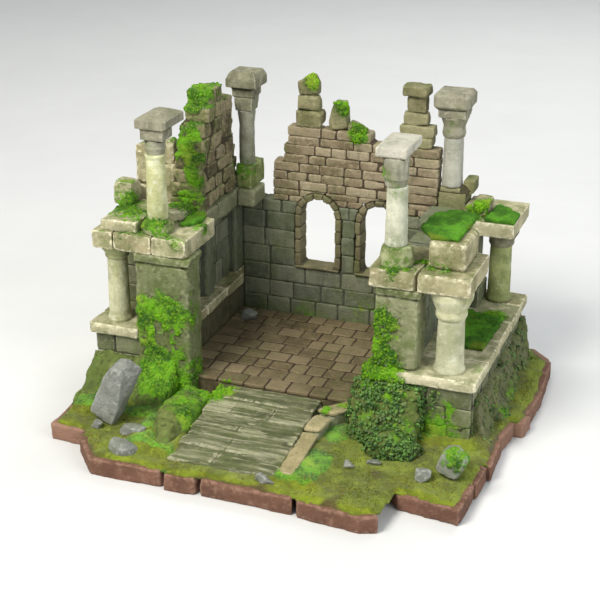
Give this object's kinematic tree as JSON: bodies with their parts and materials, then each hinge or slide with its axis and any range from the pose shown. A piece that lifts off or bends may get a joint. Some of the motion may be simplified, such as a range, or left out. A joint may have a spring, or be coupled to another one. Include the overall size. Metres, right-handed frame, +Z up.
{
  "type": "miniature terrain ruin",
  "caption": "Tabletop terrain ruin: a roofless stone hall with arched windows, stairs, raised wings and columns on a turfed base.",
  "frame": {"origin": "middle of the base's footprint, on the table surface it stands on", "axes": "+Z up; +Y towards the back wall with the windows; +X to the right as seen from the stairs"},
  "size_m": [0.202, 0.1812, 0.144],
  "materials": {
    "wall_stone": "weathered grey-beige cast stone, dry and mossy in the joints",
    "edge_stone": "reddish-brown cast stone, rough",
    "floor_stone": "brown flagstone, worn smooth on top",
    "brick": "tan coursed stone, rough broken faces",
    "sand_stone": "sand-coloured stone, lightly dressed",
    "rock": "pale grey rock with lighter edges",
    "board": "sealed fibreboard, raw underside",
    "turf": "static grass, short and matt",
    "moss": "green moss flock, matt",
    "foliage": "clump foliage and ivy leaves, matt",
    "steel": "plain wire pin"
  },
  "bodies": {
    "root": {"back_wall_bricks": "brick", "back_wall_lower": "wall_stone", "back_wall_top": "brick", "base_board": "board", "cheek_wall": "wall_stone", "cheek_wall_coping": "sand_stone", "column_pins": "steel", "front_edge_stones": "edge_stone", "hall_flagstones": "floor_stone", "hall_floor_bed": "floor_stone", "ivy_and_bush": "foliage", "left_bank": "turf", "left_broken_stones": "wall_stone", "left_cornice": "wall_stone", "left_edge_stones": "edge_stone", "left_front_column_base": "wall_stone", "left_front_column_capital": "wall_stone", "left_front_column_shaft": "wall_stone", "left_front_pier": "wall_stone", "left_hall_wall": "wall_stone", "left_lower_column_head": "wall_stone", "left_lower_column_shaft": "wall_stone", "left_outer_wall": "wall_stone", "left_podium_ashlar": "wall_stone", "left_podium_cap": "wall_stone", "left_podium_core": "wall_stone", "left_rear_column_base": "wall_stone", "left_rear_column_capital": "wall_stone", "left_rear_column_shaft": "wall_stone", "left_ruined_wall": "brick", "left_slab": "wall_stone", "left_slab_step": "wall_stone", "loose_rocks": "rock", "moss_pads": "moss", "rear_edge_stones": "edge_stone", "rear_lower_column_head": "wall_stone", "rear_lower_column_shaft": "wall_stone", "right_edge_stones": "edge_stone", "right_front_column_base": "wall_stone", "right_front_column_capital": "wall_stone", "right_front_column_shaft": "wall_stone", "right_front_pier": "wall_stone", "right_hall_wall": "wall_stone", "right_lower_column_head": "wall_stone", "right_lower_column_shaft": "wall_stone", "right_podium_ashlar": "wall_stone", "right_podium_cap": "wall_stone", "right_podium_core": "wall_stone", "right_rear_column_base": "wall_stone", "right_rear_column_capital": "wall_stone", "right_rear_column_shaft": "wall_stone", "right_rear_pier": "wall_stone", "right_rear_slab": "wall_stone", "right_rock_face": "wall_stone", "right_slab": "wall_stone", "right_terrace_block": "wall_stone", "stair_mound": "turf", "stair_treads": "wall_stone", "turf_mat": "turf", "window_surrounds": "wall_stone"}
  },
  "joints": []
}
